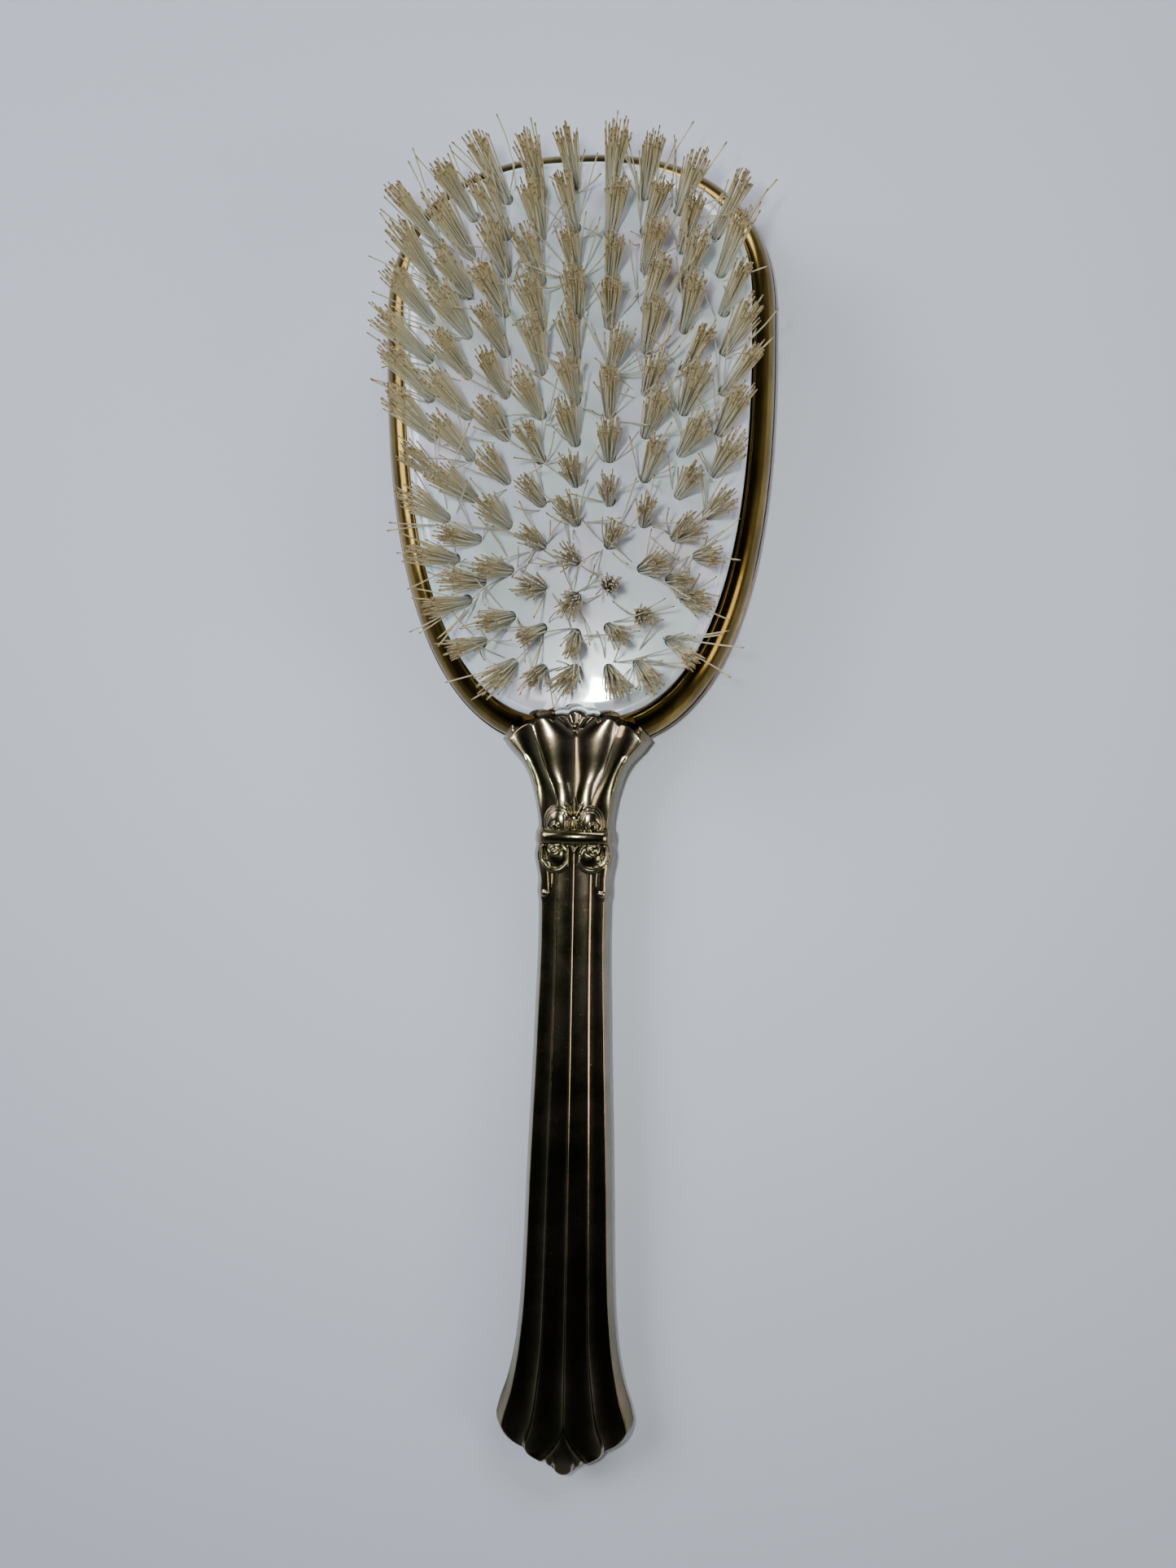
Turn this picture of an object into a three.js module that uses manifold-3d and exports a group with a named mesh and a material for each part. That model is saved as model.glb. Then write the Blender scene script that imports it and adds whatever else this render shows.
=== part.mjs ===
// Vanity hairbrush: metal-framed head, pearlised block set with nine bristle rows, fluted hollow handle.
// Millimetres. +Z is the bristle side, +Y runs from the handle to the top of the head.
import * as THREE from "three";
import { mergeVertices } from "three/addons/utils/BufferGeometryUtils.js";
import Module from "manifold-3d";

const wasm = await Module();
wasm.setup();

// head outline: one egg curve, fuller above its widest line than below it
const HEAD_TOP = 119;
const HEAD_MID = 89;
const HEAD_BOTTOM = 12.7;
const HEAD_HALF_WIDTH = 35.15;
const POWER_ABOVE = 2.43;
const POWER_BELOW = 2.6;
const HEAD_SEGMENTS = 40;

// the head sits slightly askew on the handle, turned about a point on the handle's middle line
const LEAN = 1.05 * Math.PI / 180;
const LEAN_CENTRE_Y = 30;

// heights of the stacked head pieces
const SEAM_Z = 3.7;
const PANEL_Z = [0.85, 2.6];
const CARD_Z = [2.65, 3.4];
const BLOCK_BOTTOM = 3.5;
const DOME_TOP = 14.3;
const DOME_DROP = 1.1;
const PANEL_INSET = 11;
const CARD_INSET = 5.4;
const BLOCK_INSET = 4.75;

// block edge: fraction of the block outline against height
const BLOCK_EDGE = [[1, 11.6], [0.992, 12.4], [0.975, 12.9], [0.95, 13.2]];
const BLOCK_FIELD = [0.7, 0.45, 0.2];

// the block is cut away over the handle's funnel, down to the end of its slender part
const NOTCH_Z = 18;
const NOTCH_END_Y = 4;

// frame and back tray sections: inset from the outline against height
const BEZEL_SECTION = [
  [0, SEAM_Z], [0, 4.8], [0.5, 6.1], [1.3, 7.3], [2.4, 8.4], [3.6, 9.05], [4.25, 9.1],
  [4.25, 8.0], [2.9, 7.2], [1.9, 6.1], [1.2, 4.9], [1.0, SEAM_Z],
];
const TRAY_SECTION = [
  [0.3, SEAM_Z], [0.3, 3.0], [0.9, 1.9], [2.4, 0.9], [4.6, 0.3], [7, 0], [12, 0],
  [12, 0.8], [7, 0.8], [4.9, 1.1], [3, 1.7], [1.7, 2.5], [1.2, 3.2], [1.2, SEAM_Z],
];

// bristle rows, counted outward from the middle row: tufts, lowest and highest tuft
const ROW_TUFTS = [13, 12, 12, 10, 11];
const ROW_LOW = [26.2, 26.2, 27.2, 41.5, 31];
const ROW_HIGH = [109.7, 108.6, 107.4, 104.6, 100.4];
const ROW_CROWDING = [-0.13, -0.06, 0.14, 0.05, 0.06];
const ROW_PITCH = 5.8;
const ROW_SPREAD = 0.15;
const ROW_BOW = 0.0235;
const ROW_CENTRE_Y = 80;
// how far a tuft leans per unit of height: outward from the middle row, and along the brush
const FAN = { side: 0.31, sideReach: 20, up: -0.11, along: 0.276, centre: 43, reach: 18 };
const TUFT_SIDES = 5;
const TUFT_ROOT_RADIUS = 0.62;
const TUFT_TIP_RADIUS = 2.1;
const TUFT_TIP_Z = 27.8;
const HOLE_RADIUS = 1.0;
const WIRE_Z = [3.8, 4.4];
const WIRE_WIDTH = 0.9;
const GROOVE_TOP = 4.75;
const GROOVE_WIDTH = 1.7;

// handle stations: y, half width, front edge, front crown, back height
const PARTING_Z = 5;
const HANDLE = [
  [20, 2.2, 10.3, 10.6, 2.2], [18.8, 6.6, 10.2, 10.6, 2], [17.2, 10.2, 10, 10.6, 1.8],
  [14.9, 13.1, 9.6, 10.6, 1.6], [12.4, 11.7, 9.2, 10.4, 1.5], [8.5, 9, 8.8, 10, 1.2],
  [4.1, 7.5, 8.5, 9.7, 1], [-1, 6.7, 8.3, 9.4, 0.9], [-1.7, 7.2, 8.9, 10.2, 0.6],
  [-3.9, 7.2, 8.9, 10.2, 0.6], [-4.5, 7, 8.3, 9.4, 0.9], [-6.1, 7.3, 8.3, 9.4, 0.9],
  [-10.5, 6.6, 8.2, 9.3, 0.8], [-19.3, 6.4, 8.2, 9.2, 0.8], [-36.8, 6.8, 8.2, 9.2, 0.8],
  [-60.3, 7.6, 8.1, 9.1, 0.7], [-83.7, 8.3, 8, 9, 0.6], [-92.5, 9, 7.9, 8.9, 0.4],
  [-99.6, 10.3, 7.8, 8.7, 0.15], [-104.3, 11.8, 7.6, 8.5, 0], [-106.6, 12.3, 7.5, 8.3, 0],
  [-110.2, 10.9, 7.3, 8.1, 0], [-112.3, 7.6, 7, 7.8, 0.1], [-114.9, 3.8, 6.8, 7.4, 0.2],
  [-116.3, 2, 6.6, 7, 0.4], [-117.5, 0.4, 6.2, 6.4, 0.8],
];
// front section: across against rise (0 = parting, 1 = edge, 2 = crown) and flute depth
const FRONT_SECTION = [
  [-1, 0, 0], [-0.95, 0.7, 0], [-0.86, 1, 0], [-0.66, 1.45, 0.4], [-0.45, 1.75, 0],
  [-0.22, 1.9, 0.4], [0, 2, 0], [0.22, 1.9, 0.4], [0.45, 1.75, 0], [0.66, 1.45, 0.4],
  [0.86, 1, 0], [0.95, 0.7, 0], [1, 0, 0],
];
const BACK_SECTION = [[1, 0], [0.96, 0.55], [0.8, 0.86], [0.4, 0.98], [0, 1],
  [-0.4, 0.98], [-0.8, 0.86], [-0.96, 0.55], [-1, 0]];
const WALL = 1.1;
const CAVITY_TOP = 16;
const CAVITY_END = -111;
const GAP = 0.3;

const TANG = { top: 24.6, end: -88, half: 2.6, head: 4, z: [4.3, 5.5] };
const SCREW = { x: 2.6, y: 22.5, shank: 0.7, head: 1.25, z: [3.75, 4.3, 8.2] };

// raised ornament on the handle front: x, y, z, radius across, radius along, radius up
const ORNAMENT = [
  [0, 17.4, 10.4, 1.0, 2.5, 0.7], [2.1, 17.6, 10.3, 1.8, 1.1, 0.6], [3, 0.5, 8.7, 1.95, 2.05, 1.5],
  [0, 2.5, 9.3, 0.6, 1.9, 0.7], [1.1, 2.1, 9.2, 0.6, 1.2, 0.6], [3.1, -6.1, 8.6, 1.7, 1.9, 1.4],
  [5.1, -12.7, 7.9, 0.8, 0.85, 0.8], [5.3, -9, 8, 0.8, 2.6, 0.8],
];

const FINISH = {
  frame: ["#b58a3e", 0.18, 1],
  tray: ["#a58346", 0.3, 1],
  pearl: ["#dfe3ee", 0.2, 0],
  card: ["#9c8a6c", 0.9, 0],
  bristle: ["#b9a27c", 0.6, 0],
  handle: ["#6f6a55", 0.25, 1],
  steel: ["#8d9196", 0.4, 1],
  core: ["#b9b2a4", 0.95, 0],
};

const group = new THREE.Group();
group.name = "vanity_hairbrush";

// Plan point of the head carried to where the askew head puts it.
function askew(x, y) {
  const c = Math.cos(LEAN);
  const s = Math.sin(LEAN);
  const up = y - LEAN_CENTRE_Y;
  return [x * c - up * s, LEAN_CENTRE_Y + x * s + up * c];
}

// Egg curve at one angle, drawn in by an inset.
function headPoint(angle, inset, fraction = 1) {
  const c = Math.cos(angle);
  const s = Math.sin(angle);
  const power = s > 0 ? POWER_ABOVE : POWER_BELOW;
  const reach = (s > 0 ? HEAD_TOP - HEAD_MID : HEAD_MID - HEAD_BOTTOM) - inset;
  const x = (HEAD_HALF_WIDTH - inset) * Math.sign(c) * Math.abs(c) ** (2 / power);
  const y = reach * Math.sign(s) * Math.abs(s) ** (2 / power);
  return askew(x * fraction, HEAD_MID + y * fraction);
}

// Height of the block face at a point of the plan.
function domeHeight(x, y) {
  const power = y > HEAD_MID ? POWER_ABOVE : POWER_BELOW;
  const reach = (y > HEAD_MID ? HEAD_TOP - HEAD_MID : HEAD_MID - HEAD_BOTTOM) - BLOCK_INSET;
  const across = Math.abs(x / (HEAD_HALF_WIDTH - BLOCK_INSET)) ** power;
  const fraction = (across + Math.abs((y - HEAD_MID) / reach) ** power) ** (1 / power);
  return DOME_TOP - DOME_DROP * fraction ** 2;
}

function geometryFrom(positions, indices) {
  const geometry = new THREE.BufferGeometry();
  geometry.setAttribute("position", new THREE.Float32BufferAttribute(positions.flat(), 3));
  geometry.setIndex(indices);
  return geometry;
}

// Skin a list of equal rings; closed joins the last ring to the first, otherwise both ends are capped.
function skin(rings, closed) {
  const count = rings[0].length;
  const indices = [];
  const last = closed ? rings.length : rings.length - 1;
  for (let r = 0; r < last; r++) {
    const next = (r + 1) % rings.length;
    for (let i = 0; i < count; i++) {
      const j = (i + 1) % count;
      const quad = [r * count + i, r * count + j, next * count + j, next * count + i];
      indices.push(quad[0], quad[1], quad[2], quad[0], quad[2], quad[3]);
    }
  }
  const positions = rings.flat();
  if (!closed) {
    for (const [r, flip] of [[0, true], [rings.length - 1, false]]) {
      const middle = rings[r].reduce((sum, p) => sum.map((v, k) => v + p[k] / count), [0, 0, 0]);
      positions.push(middle);
      const hub = positions.length - 1;
      for (let i = 0; i < count; i++) {
        const a = r * count + i;
        const b = r * count + (i + 1) % count;
        indices.push(hub, flip ? b : a, flip ? a : b);
      }
    }
  }
  return geometryFrom(positions, indices);
}

// Turn a closed geometry into a solid that can be joined and cut, faces out.
function solid(geometry) {
  const bare = geometry.clone();
  bare.deleteAttribute("normal");
  bare.deleteAttribute("uv");
  const merged = mergeVertices(bare, 1e-4);
  const p = merged.attributes.position.array;
  const tri = Uint32Array.from(merged.index.array);
  let volume = 0;
  for (let t = 0; t < tri.length; t += 3) {
    const [a, b, c] = [0, 1, 2].map((k) => new THREE.Vector3().fromArray(p, tri[t + k] * 3));
    volume += a.dot(b.cross(c));
  }
  if (volume < 0) {
    for (let t = 0; t < tri.length; t += 3) {
      [tri[t + 1], tri[t + 2]] = [tri[t + 2], tri[t + 1]];
    }
  }
  const mesh = new wasm.Mesh({ numProp: 3, vertProperties: Float32Array.from(p), triVerts: tri });
  return new wasm.Manifold(mesh);
}

function join(solids) {
  return solids.reduce((sum, next) => sum.add(next));
}

function cut(body, tools) {
  return tools.length ? body.subtract(join(tools)) : body;
}

function addPiece(name, body, finish) {
  const mesh = body.getMesh();
  const geometry = new THREE.BufferGeometry();
  geometry.setAttribute("position", new THREE.BufferAttribute(Float32Array.from(mesh.vertProperties), 3));
  geometry.setIndex(Array.from(mesh.triVerts));
  const flat = geometry.toNonIndexed();
  flat.computeVertexNormals();
  const [color, roughness, metalness] = FINISH[finish];
  const material = new THREE.MeshStandardMaterial({ color, roughness, metalness });
  material.name = finish;
  const piece = new THREE.Mesh(flat, material);
  piece.name = name;
  group.add(piece);
}

// Ring swept around the head from a section of inset and height.
function headRing(section) {
  const rings = [];
  for (let i = 0; i < HEAD_SEGMENTS; i++) {
    const angle = (i / HEAD_SEGMENTS) * Math.PI * 2;
    rings.push(section.map(([inset, z]) => [...headPoint(angle, inset), z]));
  }
  return solid(skin(rings, true));
}

// Plate with the head's outline, built from levels of inset, fraction and height.
function headPlate(levels) {
  const rings = levels.map(([inset, fraction, z]) => {
    const ring = [];
    for (let i = 0; i < HEAD_SEGMENTS; i++) {
      const angle = (i / HEAD_SEGMENTS) * Math.PI * 2;
      ring.push([...headPoint(angle, inset, fraction), z]);
    }
    return ring;
  });
  return solid(skin(rings, false));
}

// Front or back half of the handle as a filled body, grown or shrunk evenly.
function handleHalf(front, grow, stations) {
  const rings = stations.map(([y, half, edge, crown, back], index) => {
    const end = index === 0 ? grow : index === stations.length - 1 ? -grow : 0;
    const width = Math.max(half + grow, 0.15);
    const base = grow > 0 ? (front ? PARTING_Z - grow : PARTING_Z + grow) : PARTING_Z;
    const section = front ? FRONT_SECTION : BACK_SECTION;
    return section.map(([across, rise, flute]) => {
      let z = base;
      if (front && rise > 0) {
        const low = PARTING_Z + (edge - PARTING_Z) * Math.min(rise, 1);
        z = low + (crown - edge) * Math.max(rise - 1, 0) - (flute || 0) + grow;
      }
      if (!front && rise > 0) {
        z = PARTING_Z + (back - PARTING_Z) * rise - grow;
      }
      return [across * width, y + end, z];
    });
  });
  return solid(skin(rings, false));
}

// Box given by its low and high corners.
function box(low, high) {
  const size = high.map((v, k) => v - low[k]);
  const geometry = new THREE.BoxGeometry(...size);
  geometry.translate(...high.map((v, k) => (v + low[k]) / 2));
  return solid(geometry);
}

function upright(x, y, radius, z0, z1, sides = 12) {
  const geometry = new THREE.CylinderGeometry(radius, radius, z1 - z0, sides);
  geometry.rotateX(Math.PI / 2);
  geometry.translate(x, y, (z0 + z1) / 2);
  return solid(geometry);
}

function bead([x, y, z, rx, ry, rz]) {
  const geometry = new THREE.SphereGeometry(1, 8, 6);
  geometry.rotateX(Math.PI / 2);
  geometry.scale(rx, ry, rz);
  geometry.translate(x, y, z);
  return solid(geometry);
}

// Handle ornament on both sides of the middle line.
function ornament() {
  const beads = [];
  for (const entry of ORNAMENT) {
    beads.push(bead(entry));
    if (entry[0] > 0) {
      beads.push(bead([-entry[0], ...entry.slice(1)]));
    }
  }
  return beads;
}

// Hollow stations: thinner than the shell by its wall, inside the two end walls.
function cavityStations(extra) {
  const inside = HANDLE.filter((s) => s[0] < CAVITY_TOP - extra && s[0] > CAVITY_END + extra);
  const slim = ([y, half, edge, crown, back]) => {
    const top = edge - WALL - extra;
    return [y, half - WALL - extra, top, top + (crown - edge) * 0.5, back + WALL + extra];
  };
  return inside.map(slim);
}

function cavity(front, extra) {
  return handleHalf(front, 0, cavityStations(extra));
}

function tangBody(grow) {
  const [low, high] = TANG.z;
  const head = TANG.head + grow;
  const half = TANG.half + grow;
  const z0 = low - grow;
  const z1 = high + grow;
  const plate = box([-head, 15, z0], [head, TANG.top + grow, z1]);
  const blade = box([-half, TANG.end - grow, z0], [half, 16, z1]);
  return plate.add(blade);
}

function screw(x, grow) {
  const [low, shoulder, tip] = SCREW.z;
  const head = upright(x, SCREW.y, SCREW.head + grow, low - grow, shoulder);
  const shank = upright(x, SCREW.y, SCREW.shank + grow, shoulder - 0.2, tip + grow);
  return head.add(shank);
}

// Middle line of one row in plan, bowed to follow the head.
function rowX(row, y) {
  const middle = ROW_PITCH * row + ROW_SPREAD * row * Math.abs(row);
  return middle * (1 - ROW_BOW * row * row * ((y - ROW_CENTRE_Y) / 50) ** 2);
}

// Tufts of one row: where each leaves the block and how far it leans per unit of height.
function rowTufts(row) {
  const n = Math.abs(row);
  const tufts = [];
  for (let i = 0; i < ROW_TUFTS[n]; i++) {
    const t = i / (ROW_TUFTS[n] - 1);
    const y = ROW_LOW[n] + (ROW_HIGH[n] - ROW_LOW[n]) * (t + ROW_CROWDING[n] * t * (1 - t));
    const x = rowX(row, y);
    const side = FAN.side * Math.tanh(x / FAN.sideReach);
    const along = FAN.up + FAN.along * Math.tanh((y - FAN.centre) / FAN.reach);
    tufts.push({ x, y, z: domeHeight(x, y), lean: [side, along] });
  }
  return tufts;
}

function tuftPoint(tuft, z) {
  return askew(tuft.x + tuft.lean[0] * (z - tuft.z), tuft.y + tuft.lean[1] * (z - tuft.z));
}

// Leaning many-sided rod through levels of height and radius.
function rod(tuft, levels) {
  const rings = levels.map(([z, radius]) => {
    const [cx, cy] = tuftPoint(tuft, z);
    const ring = [];
    for (let i = 0; i < TUFT_SIDES; i++) {
      const angle = (i / TUFT_SIDES) * Math.PI * 2;
      ring.push([cx + Math.cos(angle) * radius, cy + Math.sin(angle) * radius, z]);
    }
    return ring;
  });
  return solid(skin(rings, false));
}

// Flat bar through the roots of a row.
function bar(tufts, width, z0, z1, overrun) {
  const middle = (z0 + z1) / 2;
  const line = tufts.map((tuft) => tuftPoint(tuft, (WIRE_Z[0] + WIRE_Z[1]) / 2));
  line.unshift([line[0][0], line[0][1] - overrun]);
  line.push([line[line.length - 1][0], line[line.length - 1][1] + overrun]);
  const half = (z1 - z0) / 2;
  const rings = line.map(([x, y]) => [
    [x - width / 2, y, middle - half], [x + width / 2, y, middle - half],
    [x + width / 2, y, middle + half], [x - width / 2, y, middle + half],
  ]);
  return solid(skin(rings, false));
}

function bristleRow(row) {
  const tufts = rowTufts(row);
  const rods = tufts.map((tuft) => rod(tuft, [
    [(WIRE_Z[0] + WIRE_Z[1]) / 2, TUFT_ROOT_RADIUS], [tuft.z + 0.4, TUFT_ROOT_RADIUS],
    [TUFT_TIP_Z, TUFT_TIP_RADIUS],
  ]));
  return join([bar(tufts, WIRE_WIDTH, ...WIRE_Z, 0.6), ...rods]);
}

function rowCuts(row) {
  const tufts = rowTufts(row);
  const holes = tufts.map((tuft) => rod(tuft, [[3, HOLE_RADIUS], [DOME_TOP + 1, HOLE_RADIUS]]));
  return [bar(tufts, GROOVE_WIDTH, 3, GROOVE_TOP, 1), ...holes];
}

const rows = [-4, -3, -2, -1, 0, 1, 2, 3, 4];
const handleRoom = [handleHalf(true, GAP, HANDLE), handleHalf(false, GAP, HANDLE)];
const funnelStations = HANDLE.filter(([y]) => y > NOTCH_END_Y);
const notchStations = funnelStations.map(([y, half]) => [y, half, NOTCH_Z, NOTCH_Z, 0]);
const blockNotch = handleHalf(true, GAP, notchStations);
const screwXs = [-SCREW.x, SCREW.x];

function blockBody() {
  const levels = [[BLOCK_INSET, 1, BLOCK_BOTTOM]];
  for (const [fraction, z] of BLOCK_EDGE) {
    levels.push([BLOCK_INSET, fraction, z]);
  }
  for (const fraction of BLOCK_FIELD) {
    levels.push([BLOCK_INSET, fraction, DOME_TOP - DOME_DROP * fraction ** 2]);
  }
  levels.push([BLOCK_INSET, 0.02, DOME_TOP]);
  const screws = screwXs.map((x) => screw(x, GAP));
  const holes = rows.flatMap(rowCuts);
  return cut(headPlate(levels), [...handleRoom, blockNotch, tangBody(GAP), ...screws, ...holes]);
}

function frontShell() {
  const slot = tangBody(GAP);
  return cut(join([handleHalf(true, 0, HANDLE), ...ornament()]), [cavity(true, 0), slot]);
}

function backShell() {
  return cut(handleHalf(false, 0, HANDLE), [cavity(false, 0), tangBody(GAP)]);
}

function fillerBody() {
  const whole = cavity(true, GAP).add(cavity(false, GAP));
  return cut(whole, [tangBody(GAP)]);
}

addPiece("bezel_rim", cut(headRing(BEZEL_SECTION), handleRoom), "frame");
addPiece("back_tray", cut(headRing(TRAY_SECTION), handleRoom), "tray");
addPiece("back_panel", headPlate([[PANEL_INSET + 0.5, 1, PANEL_Z[0]], [PANEL_INSET, 1, PANEL_Z[0] + 0.4],
  [PANEL_INSET, 1, PANEL_Z[1]]]), "pearl");
addPiece("packing_card", cut(headPlate([[CARD_INSET, 1, CARD_Z[0]], [CARD_INSET, 1, CARD_Z[1]]]),
  handleRoom), "card");
addPiece("bristle_block", blockBody(), "pearl");
rows.forEach((row, index) => addPiece(`bristle_row_${index + 1}`, bristleRow(row), "bristle"));
addPiece("handle_front_shell", frontShell(), "handle");
addPiece("handle_back_shell", backShell(), "handle");
addPiece("handle_tang", cut(tangBody(0), screwXs.map((x) => screw(x, 0.25))), "steel");
addPiece("handle_filler", fillerBody(), "core");
screwXs.forEach((x, index) => addPiece(`tang_screw_${index + 1}`, screw(x, 0), "steel"));

// the origin is the middle of the footprint
const middle = new THREE.Box3().setFromObject(group).getCenter(new THREE.Vector3());
for (const piece of group.children) {
  piece.geometry.translate(-middle.x, -middle.y, 0);
}

export default group;
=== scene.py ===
"""Vanity hairbrush: gilt frame, pearlised block with nine rows of tufts, fluted plated handle."""
import math
import random

import bmesh
import bpy
import numpy as np
from mathutils import Matrix, Vector


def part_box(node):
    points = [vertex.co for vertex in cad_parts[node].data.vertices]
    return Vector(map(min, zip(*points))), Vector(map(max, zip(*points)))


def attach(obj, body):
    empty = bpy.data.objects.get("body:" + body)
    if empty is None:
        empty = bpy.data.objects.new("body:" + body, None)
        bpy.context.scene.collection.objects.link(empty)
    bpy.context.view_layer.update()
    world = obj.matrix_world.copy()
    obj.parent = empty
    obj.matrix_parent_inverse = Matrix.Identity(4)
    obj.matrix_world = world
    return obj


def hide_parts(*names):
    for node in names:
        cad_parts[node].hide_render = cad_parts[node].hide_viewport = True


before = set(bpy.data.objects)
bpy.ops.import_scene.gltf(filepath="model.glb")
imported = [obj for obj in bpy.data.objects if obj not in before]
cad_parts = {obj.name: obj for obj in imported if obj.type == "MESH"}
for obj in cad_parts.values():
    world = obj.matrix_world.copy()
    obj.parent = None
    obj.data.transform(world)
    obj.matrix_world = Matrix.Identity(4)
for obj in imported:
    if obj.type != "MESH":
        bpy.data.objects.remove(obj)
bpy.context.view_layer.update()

bl_info = {
    "name": "Vanity Hairbrush",
    "version": (1, 0, 0),
    "blender": (4, 5, 0),
    "location": "View3D > Sidebar > Hairbrush",
    "description": "Builds a dresser-set hairbrush around its solid model",
    "category": "Object",
}

MM = 0.001

# Lengths below are millimetres from the handle's middle line; SHIFT carries them to the solids' origin.
TANG_END_Y = -88.0
TANG_LOW, TANG_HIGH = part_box("handle_tang")
SHIFT = ((TANG_LOW.x + TANG_HIGH.x) / 2 / MM, TANG_LOW.y / MM - TANG_END_Y, 0.0)

# The head sits slightly askew on the handle, turned about a point on the handle's middle line.
LEAN = math.radians(1.05)
LEAN_CENTRE_Y = 30.0

# The head is one egg curve: its widest line, its reach above and below, and how square each half is.
HEAD_MID = 89.0
HEAD_HALF_WIDTH = 35.0
HEAD_REACH = (29.9, 76.2)
HEAD_POWER = (2.43, 2.6)
SPIN_RADIUS = 50.0

# Block: inset from the head's outline, width of its rolled rim, dome, and height of its underside.
BLOCK_INSET = 4.75
BLOCK_RIM = 3.0
DOME_TOP = 14.3
DOME_DROP = 1.1
BLOCK_FOOT = 3.5
HOLE_RADIUS = 1.02
HOLE_LENGTH = 7

# Notch in the block over the handle's top: half width, lower edge, foot, rise and clearance.
NOTCH_HALF = 12.6
NOTCH_LOW_Y = 2.0
NOTCH_FOOT = 3.0
NOTCH_RISE = 15
NOTCH_GAP = 0.45

# The frame stops each side of the handle, where the funnel laps it, by this turn from the middle line.
FRAME_GAP = math.radians(13)
TRAY_RIM_Z = 3.7
PANEL_INSET = 11.0

# Steps round the spin of each piece of the head.
FRAME_STEPS = 420
TRAY_STEPS = 300
BLOCK_STEPS = 240
PANEL_STEPS = 200

# Tuft rows counted outward from the middle one: tufts, lowest and highest tuft.
ROW_TUFTS = (13, 12, 12, 10, 11)
ROW_LOW = (26.2, 26.2, 27.2, 41.5, 31.0)
ROW_HIGH = (109.7, 108.6, 107.4, 104.6, 100.4)
ROW_CROWDING = (-0.13, -0.06, 0.14, 0.05, 0.06)
ROW_PITCH = 5.8
ROW_SPREAD = 0.15
ROW_BOW = 0.0235
ROW_CENTRE_Y = 80.0
ROW_BOW_REACH = 50
ROWS_EACH_SIDE = 4
TIP_Z = 27.6

# How far a tuft leans per unit of height: outward from the middle row, and along the brush.
FAN_SIDE = (0.31, 20.0)
FAN_ALONG = (-0.11, 0.276, 43.0, 18.0)
TIP_LIMIT = (33.4, 116.8)

# Filaments of a tuft: radius of the bundle, turn from one to the next, depth of the root in the block,
# how far the bundle opens, strays in a tuft and how far their tips stand out.
BUNDLE_RADIUS = 0.76
GOLDEN_TURN = 2.39996
ROOT_DEPTH = 2.4
TUFT_OPENS = (2.2, 3.5)
STRAY_COUNTS = (2, 3, 4, 5, 6, 8)
STRAY_OUT = (2.6, 8.5)
FILAMENT_LOW_Z = 3.6
FILAMENT_HIGH_Z = 27.75
FIRST_SEED = 700

# Handle outline at the seam, and the height of the front's edge and crown: distance along, value.
PARTING_Z = 5.0
SIDE_Y = (14.9, 12.4, 10.4, 8.5, 6.0, 4.1, 1.5, -0.6, -2.8, -4.4, -6.1, -8.2, -10.6, -12.8, -14.6,
          -19.3, -36.8, -60.3, -83.7, -92.5, -99.6, -104.3, -106.6)
SIDE_X = (13.8, 11.9, 10.05, 8.9, 8.0, 7.5, 7.0, 6.75, 6.75, 7.05, 7.33, 7.0, 6.6, 6.72, 6.42,
          6.38, 6.8, 7.6, 8.3, 9.0, 10.3, 11.8, 12.35)
LEVEL_Y = (20.0, 15.0, 8.5, 4.0, -1.0, -19.0, -60.0, -92.0, -104.0, -112.0, -117.5)
EDGE_Z = (10.1, 9.7, 8.8, 8.5, 8.3, 8.2, 8.1, 7.9, 7.6, 7.0, 6.2)
CROWN_Z = (10.9, 10.6, 10.0, 9.7, 9.4, 9.2, 9.1, 8.9, 8.5, 7.8, 6.6)
BACK_Z = (2.4, 1.7, 1.2, 1.0, 0.9, 0.8, 0.7, 0.4, 0.0, 0.1, 0.8)
RIDGE_Y = (18.0, 9.5, 2.9, -8.0, -19.0, -60.0, -91.0, -98.0, -104.0, -107.0, -110.6, -113.0)
RIDGE_X = (7.95, 5.3, 3.05, 2.95, 2.95, 3.5, 4.05, 4.6, 5.3, 5.8, 6.9, 7.2)
WALL = 1.0
SKIN = 1.1
TOP_ZONE = 3.0
FAN_ZONE = -92.0
COLLAR_Y = -2.8
COLLAR_HALF = 1.3
SPLIT_Y = -106.4
ORNAMENT_LOW_Y = -14.4

# Grid of each half: steps across between seam, wall, ridge and middle, and steps along.
FRONT_SPANS = (12, 24, 34, 34, 24, 12)
FRONT_ROWS = (14, 110, 150, 56, 70, 12)
BACK_SPANS = (10, 8, 8, 8, 8, 10)
BACK_ROWS = (8, 24, 60, 40, 24, 8)

# Flutes between the ridges: depth per width on the grip, and what the funnel and the fan add to it.
FLUTE_DEPTH = 0.075
FLUTE_FUNNEL = 0.13
FLUTE_FAN = 0.06
FLUTE_WIDEST = 4.2
CREST_HEIGHT = 0.07
CREST_WIDTH = 0.1

# Palmette: foot, place and radius of its bead, leaves across, and their height.
PALMETTE_LOW_Y = 14.6
PALMETTE_BEAD_Y = 16.55
PALMETTE_BEAD = 0.62
PALMETTE_TURNS = 5.45
PALMETTE_RISE = 0.6

# Trefoil over the ring and its stem: base, tip, half width, height.
TREFOIL_LEAVES = (((0, 0.9), (0, 4.5), 0.62, 0.85), ((0.1, 0.3), (1.6, 3.3), 0.5, 0.7),
                  ((0.35, -1.6), (0.9, 1.9), 0.33, 0.5), ((0, -2.2), (0, 1.6), 0.3, 0.55))

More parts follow.
